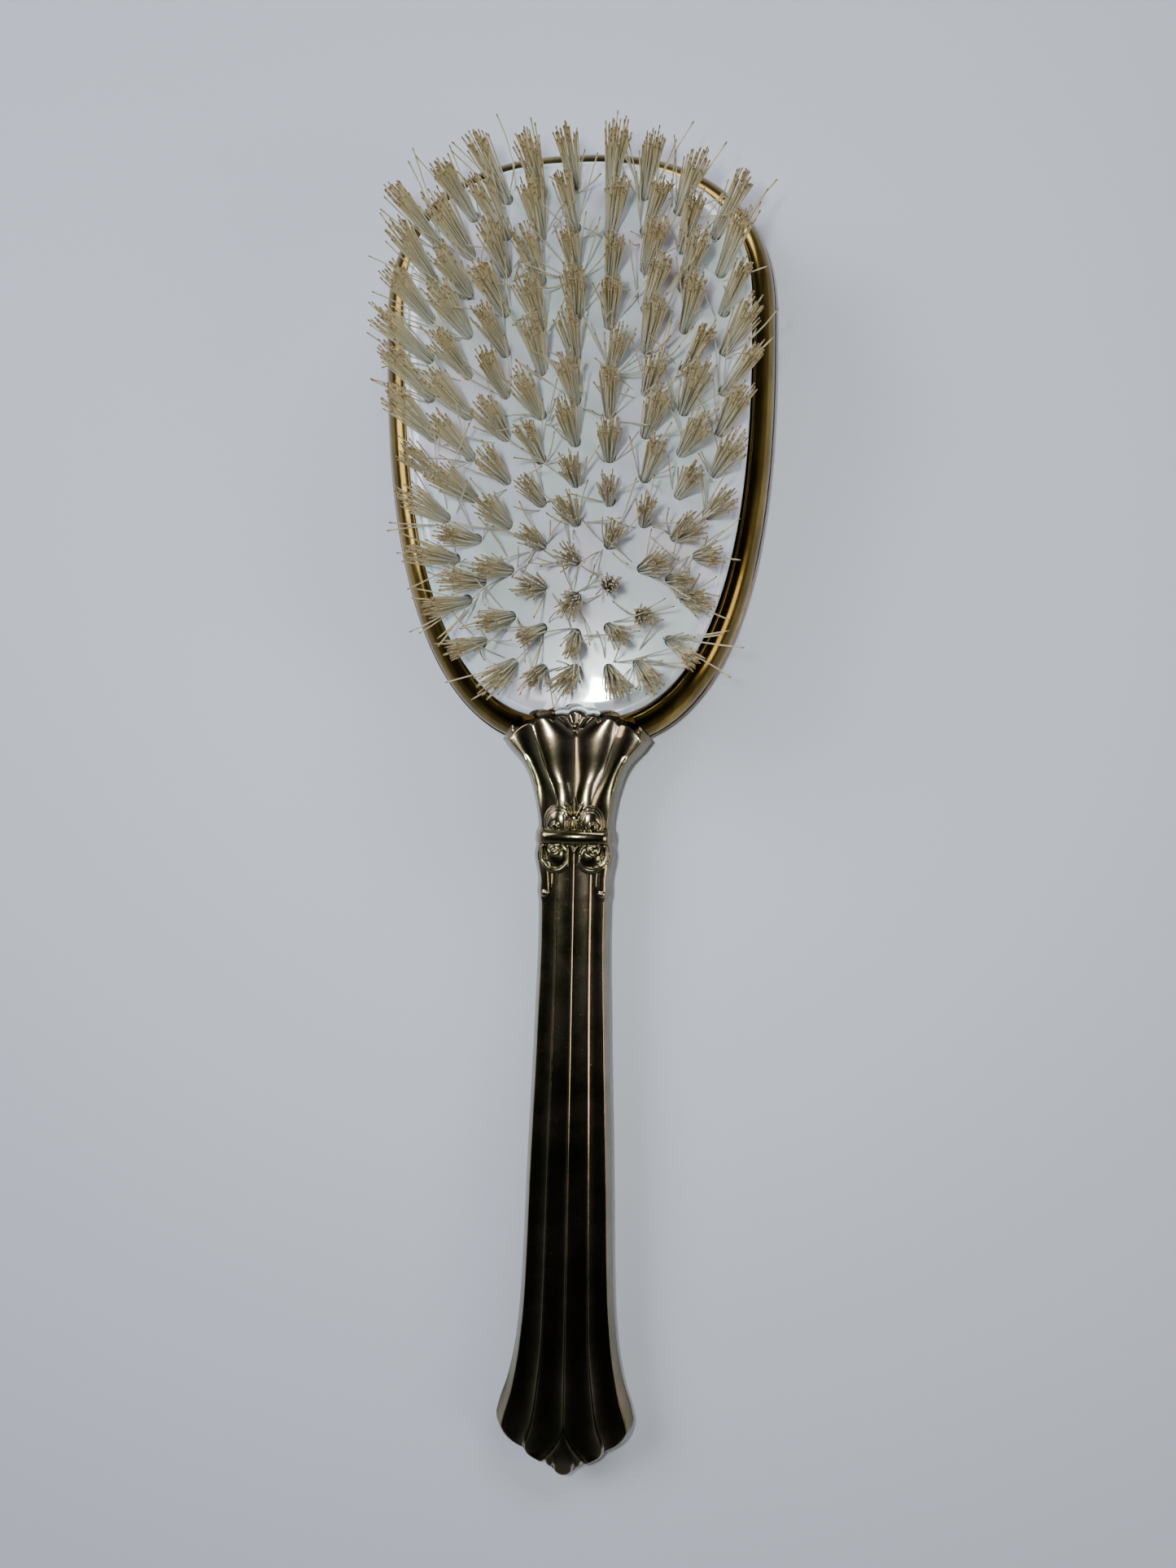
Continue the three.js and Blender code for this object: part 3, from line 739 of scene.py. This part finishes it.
def parting(x, y):
    """Height of the front half's lower edge: the seam, climbing onto the frame that the funnel laps."""
    a = np.abs(x)
    reach, power = HEAD_REACH[1], HEAD_POWER[1]
    outline = HEAD_MID - reach * (1 - np.clip(a / HEAD_HALF_WIDTH, 0, 1) ** power) ** (1 / power)
    inset = np.clip(y - outline + 0.25, -2, 4.2)
    seat = np.interp(inset, SEAT_INSET, SEAT_Z)
    return PARTING_Z + (seat - PARTING_Z) * blend_step(a, 9.6, 11.4)


def split_half(y):
    """Half width of the bud between the two branches of the middle ridge."""
    return 3.05 * np.clip((SPLIT_Y - y) / 6.5, 0, 1.25) ** 1.9


def palmette_half(y):
    """Half width of the palmette that opens between the inner lobes."""
    return 4.25 * np.clip((y - 14.4) / 4.2, 0, 1.4) ** 1.5


def petal(x, y, base, tip, half, height):
    """Pointed leaf from base to tip, highest along its middle."""
    base = np.array(base)
    way = np.array(tip) - base
    length = float(np.hypot(*way))
    way = way / length
    along = ((x - base[0]) * way[0] + (y - base[1]) * way[1]) / length
    across = np.abs((x - base[0]) * way[1] - (y - base[1]) * way[0])
    width = half * np.sin(np.pi * np.clip(along, 0, 1) ** 0.8) + 1e-6
    inside = (along > 0) & (along < 1)
    return np.where(inside, height * np.clip(1 - across / width, 0, 1) ** 0.6, 0)


def oval(x, y, centre, radii):
    """Distance from the centre of an oval, 1 on its edge."""
    return np.sqrt(((x - centre[0]) / radii[0]) ** 2 + ((y - centre[1]) / radii[1]) ** 2)


def knob(q, height):
    """Rounded boss over a distance of 0 to 1."""
    return height * np.sqrt(np.clip(1 - q * q, 0, None))


def groove(q, at, width, depth):
    """Depth of a soft groove along one distance."""
    return depth * np.exp(-((q - at) / width) ** 2)


def ornament_height(a, y):
    """Height of the raised ornament over the crown, a being the distance from the middle line."""
    h = np.zeros_like(a)
    # hooded volutes above the ring
    hood = oval(a, y, (3.0, -0.3), (2.3, 3.0))
    rim = knob(hood, 1.1) - groove(hood, 0.86, 0.035, 0.3) - groove(hood, 0.7, 0.03, 0.22)
    eye = np.hypot(a - 3.35, y + 0.95)
    rim += np.where(eye < 0.6, 0.15, 0) - groove(eye, 1.0, 0.1, 0.4) - groove(eye, 0.6, 0.07, 0.25)
    h = np.maximum(h, np.where((hood < 1) & (y > -1.6), rim + 0.12, 0))
    # trefoil and its stem
    for base, tip, half, high in TREFOIL_LEAVES:
        h = np.maximum(h, petal(a, y, base, tip, half, high))
    # scrolls below the ring
    ball = oval(a, y, (3.0, -6.1), (1.85, 1.95))
    h = np.maximum(h, np.where(y < -4.0, knob(ball, 0.6), 0))
    low_eye = np.hypot(a - 3.5, y + 4.95)
    rings = 0.95 + 0.1 * np.cos(low_eye * 2 * np.pi / 0.5)
    h = np.where((low_eye < 1.35) & (y < -4.0), rings - groove(low_eye, 1.3, 0.1, 0.4), h)
    band = oval(a, y, (3.25, -5.7), (2.55, 3.05))
    crescent = half_round(band - 1.0, 0.16, 0.8)
    h = np.maximum(h, np.where((y < -4.2) & (a > 1.0), crescent, 0))
    inner = half_round(band - 1.22, 0.08, 0.5)
    h = np.maximum(h, np.where((y < -4.2) & (y > -7.6) & (a > 3.4), inner, 0))
    # side leaves and their knobs
    leaf = oval(a, y, (5.1, -9.9), (1.5, 3.6))
    vein = groove(np.abs(a - 4.3 - 0.06 * (y + 10)), 0, 0.14, 0.3)
    h = np.maximum(h, np.where(leaf < 1, knob(leaf, 0.6) - vein + 0.1, 0))
    h = np.maximum(h, knob(oval(a, y, (5.15, -12.75), (0.85, 0.8)), 0.75))
    # chevron under the ring
    chevron = np.abs((y + 5.5) - a * 1.45)
    h = np.maximum(h, np.where((y < -4.0) & (a < 1.1), half_round(chevron, 0.3, 0.45), 0))
    return h


def front_relief(x, y, wall):
    """Height of the handle's front, and how deep in a recess each point lies."""
    a = np.abs(x)
    half = side_half(np.clip(y, -106.6, 14.9)) - WALL
    edge = smooth_curve(y, LEVEL_Y, EDGE_Z)
    crown = smooth_curve(y, LEVEL_Y, CROWN_Z)
    face = edge + (crown - edge) * np.clip(1 - (a / half) ** 2, 0, 1)
    inner = np.maximum(split_half(y), palmette_half(y))
    ridge = np.maximum(ridge_half(y), inner + 0.2)
    low = np.where(a < ridge, inner, ridge)
    high = np.where(a < ridge, ridge, np.maximum(half, ridge + 0.2))
    span = np.clip(high - low, 0.3, None)
    mid = np.clip((a - low) / span, 0, 1)
    hollow = 4 * mid * (1 - mid)
    flute = FLUTE_DEPTH + FLUTE_FUNNEL * blend_step(y, 0.0, 9.0) + FLUTE_FAN * blend_step(-y, 88.0, 104.0)
    field = face - flute * np.clip(span, 0, FLUTE_WIDEST) * hollow ** 0.9
    crest = np.minimum(np.abs(a - ridge), np.where(inner < 0.1, a, 9))
    field = field + CREST_HEIGHT * np.exp(-(crest / CREST_WIDTH) ** 2)
    recess = 0.25 * hollow
    # palmette: fluted shell round a small bead
    angle = np.arctan2(a, y - 15.6)
    leaf = np.cos(angle * PALMETTE_TURNS) ** 2
    shell = crown - 0.15 + PALMETTE_RISE * leaf
    bead = knob(np.hypot(a, y - PALMETTE_BEAD_Y) / PALMETTE_BEAD, PALMETTE_RISE)
    shell = np.maximum(shell, crown + bead)
    in_shell = (a < palmette_half(y) - 0.12) & (y > PALMETTE_LOW_Y)
    recess = np.where(in_shell, 0.9 * (1 - leaf) ** 1.5, recess)
    field = np.where(in_shell, shell, field)
    # bud at the tip
    bud = split_half(y)
    in_bud = np.where(y < SPLIT_Y, blend_step(bud - a, -0.1, 0.9), 0)
    petal_line = np.abs(a - 0.55 * bud)
    bud_face = crown - 0.35 + 0.3 * np.clip(1 - (a / np.clip(bud, 0.2, None)) ** 2, 0, 1)
    bud_face = bud_face - groove(petal_line, 0, 0.3, 0.12)
    field = field + (bud_face - field) * in_bud
    # ring across the handle, then the ornament over all
    ring = collar_swell(y) * np.sqrt(np.clip(1 - (np.clip(a - 4.9, 0, None) / 1.4) ** 2, 0, None))
    thin = groove(np.abs(y - COLLAR_Y), 1.42, 0.1, 0.25)
    field = np.where(ring > 0, face + ring * 0.95, field - thin * (a < half))
    rise = ornament_height(a, y)
    raised = face - 0.25 + rise
    covered = (rise > 0.02) & (ring <= 0) & (raised > field)
    field = np.where(covered, raised, field)
    fade = np.clip(1 - rise / 0.8, 0, 1)
    recess = np.where(covered, 0.9 * fade ** 1.5, recess)
    near = (rise <= 0.02) & (y < 5.2) & (y > -14.2)
    recess = np.where(near & (ring <= 0), np.maximum(recess, 0.35), recess)
    climb = np.clip(wall / WALL, 0, 1)
    climb = 1 - (1 - climb) ** 1.35
    low = parting(x, y)
    top = low + (np.maximum(field, low + 0.3) - low) * climb
    return top, np.where(wall < WALL, 0.5 * (1 - climb) + recess * climb, recess)


def back_relief(x, y, wall):
    """Height of the handle's plain, rounded back."""
    level = smooth_curve(y, LEVEL_Y, BACK_Z)
    climb = np.clip(wall / 2.6, 0, 1)
    climb = np.sqrt(np.clip(1 - (1 - climb) ** 2.4, 0, None))
    ring = np.where(collar_swell(y) > 0, 0.45 * collar_swell(y), 0)
    return PARTING_Z - (PARTING_Z - level + ring) * climb, np.full_like(x, 0.15)


def strip_positions(count, stops):
    """Even steps inside each span between stops, as many as asked."""
    out = [np.linspace(stops[i], stops[i + 1], n, endpoint=False) for i, n in enumerate(count)]
    return np.concatenate(out + [[stops[-1]]])


def sheet_columns(w, v, inset):
    """Distance from the middle line at a place on the sheet, and the half width there."""
    zones = (0, 1, 3, 4)
    half = side_half(np.interp(v, zones, (TOP_CORNER_Y, TOP_ZONE, FAN_ZONE, TIP_CORNER_Y))) - inset
    ridge = ridge_half(np.interp(v, zones, (RIDGE_TOP_Y, TOP_ZONE, FAN_ZONE, RIDGE_TIP_Y)))
    ridge = np.minimum(ridge, half - WALL - 0.3)
    a = np.abs(w)
    flank = ridge + (a - 1) * (half - WALL - ridge)
    x = np.where(a < 1, a * ridge, np.where(a < 2, flank, half - WALL * (3 - a)))
    return np.sign(w) * x, half


def handle_sheet(across, along, inset):
    """Plan positions of a sheet whose rows follow both scalloped ends and whose columns follow the ridges.

    across runs from -3 to 3: 0 middle, 1 ridge, 2 inside of the wall, 3 seam. along runs from 0 to 4."""
    w, v = np.meshgrid(across, along)
    x, half = sheet_columns(w, v, inset)
    y = np.interp(v, (0, 1, 3, 4), (TOP_CORNER_Y, TOP_ZONE, FAN_ZONE, TIP_CORNER_Y))
    wall = half - np.abs(x)
    ends = ((funnel_edge, 0.0, 1, TOP_CORNER_Y, TOP_ZONE, -inset, v < 1),
            (fan_edge, 4.0, 3, TIP_CORNER_Y, FAN_ZONE, inset, v > 3))
    for outline, last, first, corner_y, zone, draw_in, there in ends:
        end_x = sheet_columns(w, np.full_like(v, last), inset)[0]
        corner = side_half(corner_y)
        end_y = outline(end_x * corner / (corner - inset)) + draw_in
        y = np.where(there, zone + (end_y - zone) * np.abs(v - first), y)
        slope = np.clip(np.gradient(end_y, axis=1) / np.gradient(end_x, axis=1), -3, 3)
        gap = np.abs(end_y - y) / np.sqrt(1 + slope ** 2)
        wall = np.minimum(wall, np.where(there, gap, 9))
    return x, y, np.clip(wall, 0, None)


def sheet_mesh(bm, across, along, inset, relief, layers):
    """Grid carried onto the handle, each vertex marked with its recess and its place in the grid."""
    nx, ny = len(across) - 1, len(along) - 1
    made = bmesh.ops.create_grid(bm, x_segments=nx, y_segments=ny, size=1.0)["verts"]
    co = np.array([v.co for v in made])
    columns = np.rint((co[:, 0] + 1) / 2 * nx).astype(int)
    rows = np.rint((1 - co[:, 1]) / 2 * ny).astype(int)
    x, y, wall = handle_sheet(across, along, inset)
    z, recess = relief(x, y, wall)
    for vert, i, j in zip(made, columns, rows):
        vert.co = (x[j, i], y[j, i], z[j, i])
        vert[layers[0]] = recess[j, i]
        vert[layers[1]] = int(i)
        vert[layers[2]] = int(j)
    return np.stack([x, y, z], -1)


def close_rim(bm, rim_out, rim_in, layers, inside):
    """Wall between two sheets: the outer rim drawn in to its own points on the inner one, and welded."""
    halves = bmesh.ops.subdivide_edges(bm, edges=rim_in, cuts=1)["geom_split"]
    weld = [item for item in halves if isinstance(item, bmesh.types.BMVert)]
    weld += [vert for edge in rim_in for vert in edge.verts]
    drawn = bmesh.ops.extrude_edge_only(bm, edges=rim_out)["geom"]
    drawn = [item for item in drawn if isinstance(item, bmesh.types.BMVert)]
    for vert in drawn:
        i, j = vert[layers[1]], vert[layers[2]]
        before = inside[j // 2, i // 2]
        after = inside[(j + 1) // 2, (i + 1) // 2]
        vert.co = Vector((before + after) / 2)
    bmesh.ops.remove_doubles(bm, verts=list(dict.fromkeys(drawn + weld)), dist=1e-4)


def build_handle_half(name, relief, inner_relief, across, along, material, nodes):
    """One stamped half of the handle: outer skin, plainer inner skin and the wall between them."""
    bm = bmesh.new()
    for kind, title in (("float", "recess"), ("int", "column"), ("int", "line")):
        getattr(bm.verts.layers, kind).new(title)
    whole = bm.verts.layers.int
    layers = (bm.verts.layers.float["recess"], whole["column"], whole["line"])
    sheet_mesh(bm, across, along, 0.0, relief, layers)
    rim_out = [e for e in bm.edges if e.is_boundary]
    known = set(bm.edges)
    inside = sheet_mesh(bm, across[::2], along[::2], SKIN, inner_relief, layers)
    rim_in = [e for e in bm.edges if e.is_boundary and e not in known]
    close_rim(bm, rim_out, rim_in, layers, inside)
    if any(e.is_boundary for e in bm.edges):
        raise RuntimeError(f"{name}: the rim isn't closed")
    bmesh.ops.recalc_face_normals(bm, faces=bm.faces)
    for title in ("column", "line"):
        bm.verts.layers.int.remove(bm.verts.layers.int[title])
    mesh = to_mesh(bm, name)
    finish_piece(name, mesh, material, nodes, sharp=0, head=False)


def front_inner(x, y, wall):
    """Inside of the front half, which doesn't follow the ornament."""
    edge = smooth_curve(y, LEVEL_Y, EDGE_Z)
    climb = np.clip(wall / 1.2, 0, 1)
    low = parting(x, y)
    return low + np.maximum(edge - 1.9 - low, 0) * climb, np.zeros_like(x)


def back_inner(x, y, wall):
    """Inside of the back half."""
    level = smooth_curve(y, LEVEL_Y, BACK_Z)
    climb = np.clip(wall / 2.2, 0, 1)
    return PARTING_Z - (PARTING_Z - level - SKIN) * climb, np.zeros_like(x)


def build_handle(material):
    """Front half with the ornament, on a fine grid, and plain back half."""
    columns = [-3, -2, -1, 0, 1, 2, 3]
    ornament_end = 1 + 2 * (TOP_ZONE - ORNAMENT_LOW_Y) / (TOP_ZONE - FAN_ZONE)
    fineness = 1.0
    spans = [max(2, int(n * fineness / 2)) * 2 for n in FRONT_SPANS]
    rows = [max(3, int(n * fineness / 2)) * 2 for n in FRONT_ROWS]
    across = strip_positions(spans, columns)
    along = strip_positions(rows, [0.0, 0.09, 1.0, ornament_end, 3.0, 3.94, 4.0])
    build_handle_half("handle_front", front_relief, front_inner, across, along, material,
                      ["handle_front_shell"])
    plain_across = strip_positions(BACK_SPANS, columns)
    plain_along = strip_positions(BACK_ROWS, [0.0, 0.15, 1.0, ornament_end, 3.0, 3.85, 4.0])
    build_handle_half("handle_back", back_relief, back_inner, plain_across, plain_along, material,
                      ["handle_back_shell"])


# ---------------------------------------------------------------- room

def room_light(tree):
    """Plain studio surround: pale near the table, dark overhead where the ceiling is unlit."""
    way = add_node(tree, "ShaderNodeTexCoord").outputs["Generated"]
    parts = add_node(tree, "ShaderNodeSeparateXYZ", links={"Vector": way})
    tone = add_node(tree, "ShaderNodeValToRGB", {"ramp": [
        (0.0, linear("#c9cfda")), (0.3, linear("#aab2bd")), (0.62, linear("#4b5056")),
        (0.85, linear("#16181b"))]}, {"Fac": parts.outputs["Z"]})
    background = tree.nodes["Background"]
    background.inputs["Strength"].default_value = 0.5
    tree.links.new(tone.outputs["Color"], background.inputs["Color"])


# ---------------------------------------------------------------- settings and operators

class BrushSettings(bpy.types.PropertyGroup):
    """Sizes of the brush that a user would change."""
    filaments: bpy.props.IntProperty(
        name="Filaments", description="Filaments in each tuft", default=45, min=6, max=60)
    filament_radius: bpy.props.FloatProperty(
        name="Filament radius", description="Radius of one filament in millimetres", default=0.125,
        min=0.05, max=0.4)
    floor_colour: bpy.props.FloatVectorProperty(
        name="Floor", description="Colour of the table", subtype="COLOR", size=4, min=0, max=1,
        default=linear("#c6cad4"))


class BRUSH_OT_head(bpy.types.Operator):
    """Build the frame, the block, the back tray and its inlay"""
    bl_idname = "brush.head"
    bl_label = "Head"

    def execute(self, context):
        build_bezel(gilt_frame_material())
        build_block(pearl_material("acrylic_pearlised", 0.1))
        # stamped gilt sheet: softer gleam than the frame, with little tarnish
        build_tray(plain_material("gilt_sheet_stamped", "#8f6d35", "#b08c4c", 160.0, 0.32, 1.0, 0.01))
        build_panel(pearl_material("acrylic_inlay", 0.3))
        return {"FINISHED"}


class BRUSH_OT_bristles(bpy.types.Operator):
    """Build the nine rows of tufts"""
    bl_idname = "brush.bristles"
    bl_label = "Bristles"

    def execute(self, context):
        settings = context.scene.brush
        template = filament_template(6, 4)
        material = filament_material()
        for index in range(9):
            build_row(index, template, material, settings.filaments, settings.filament_radius)
        return {"FINISHED"}


class BRUSH_OT_handle(bpy.types.Operator):
    """Build the two stamped halves of the handle"""
    bl_idname = "brush.handle"
    bl_label = "Handle"

    def execute(self, context):
        build_handle(plated_handle_material())
        return {"FINISHED"}


class BRUSH_OT_inner_parts(bpy.types.Operator):
    """Give the kept inner solids their finishes"""
    bl_idname = "brush.inner_parts"
    bl_label = "Inner parts"

    def execute(self, context):
        # rolled mild steel: dull blue-grey with a faint grain
        steel = plain_material("mild_steel_rolled", "#6f7276", "#94979b", 700.0, 0.42, 1.0)
        # pressed card: matt, brown and fibrous
        card = plain_material("packing_card_pressed", "#8a7758", "#a08c68", 900.0, 0.85)
        # cast cement: pale, chalky and rough
        cement = plain_material("cement_cast", "#a29a8a", "#bdb6a6", 500.0, 0.9)
        for node, material in (("packing_card", card), ("handle_tang", steel), ("handle_filler", cement),
                               ("tang_screw_1", steel), ("tang_screw_2", steel)):
            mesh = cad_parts[node].data
            mesh.materials.clear()
            mesh.materials.append(material)
        return {"FINISHED"}


class BRUSH_OT_stage(bpy.types.Operator):
    """Lay the floor, place the lights and the camera"""
    bl_idname = "brush.stage"
    bl_label = "Stage"

    def execute(self, context):
        bm = bmesh.new()
        bmesh.ops.create_grid(bm, x_segments=1, y_segments=1, size=FLOOR_HALF)
        floor = bpy.data.objects.new("floor", to_mesh(bm, "floor"))
        context.scene.collection.objects.link(floor)
        material, tree = new_material("table_laminate_matt")
        colour = tuple(context.scene.brush.floor_colour)
        shader = add_node(tree, "ShaderNodeBsdfPrincipled", {"Base Color": colour, "Roughness": 0.6})
        close_material(tree, shader)
        floor.data.materials.append(material)
        world = bpy.data.worlds.new("room")
        context.scene.world = world
        world.use_nodes = True
        room_light(world.node_tree)
        for name, place, size, power, colour in LIGHTS:
            data = bpy.data.lights.new(name, "AREA")
            data.shape = "RECTANGLE"
            data.size, data.size_y = size
            data.energy = power
            data.color = linear(colour)[:3]
            light = bpy.data.objects.new(name, data)
            context.scene.collection.objects.link(light)
            light.location = place
            aim = LIGHT_AIM - Vector(place)
            light.rotation_euler = aim.to_track_quat("-Z", "Y").to_euler()
        data = bpy.data.cameras.new("camera")
        data.sensor_width = 36
        data.lens = CAMERA_LENS
        data.clip_start = 0.01
        camera = bpy.data.objects.new("camera", data)
        context.scene.collection.objects.link(camera)
        camera.location = (CAMERA_PLACE + Vector(SHIFT)) * MM
        camera.rotation_euler = tuple(math.radians(turn) for turn in CAMERA_TURN)
        context.scene.camera = camera
        return {"FINISHED"}


class BRUSH_PT_panel(bpy.types.Panel):
    """Lists the brush's builders"""
    bl_label = "Hairbrush"
    bl_idname = "BRUSH_PT_panel"
    bl_space_type = "VIEW_3D"
    bl_region_type = "UI"
    bl_category = "Hairbrush"

    def draw(self, context):
        for name in ("filaments", "filament_radius", "floor_colour"):
            self.layout.prop(context.scene.brush, name)
        for operator in OPERATORS:
            self.layout.operator(operator.bl_idname)


OPERATORS = (BRUSH_OT_stage, BRUSH_OT_head, BRUSH_OT_bristles, BRUSH_OT_handle, BRUSH_OT_inner_parts)
CLASSES = (BrushSettings,) + OPERATORS + (BRUSH_PT_panel,)


def register():
    for item in CLASSES:
        bpy.utils.register_class(item)
    bpy.types.Scene.brush = bpy.props.PointerProperty(type=BrushSettings)


def unregister():
    del bpy.types.Scene.brush
    for item in reversed(CLASSES):
        bpy.utils.unregister_class(item)


def main():
    register()
    bpy.ops.brush.stage()
    bpy.ops.brush.head()
    bpy.ops.brush.bristles()
    bpy.ops.brush.handle()
    bpy.ops.brush.inner_parts()


if __name__ == "__main__":
    main()
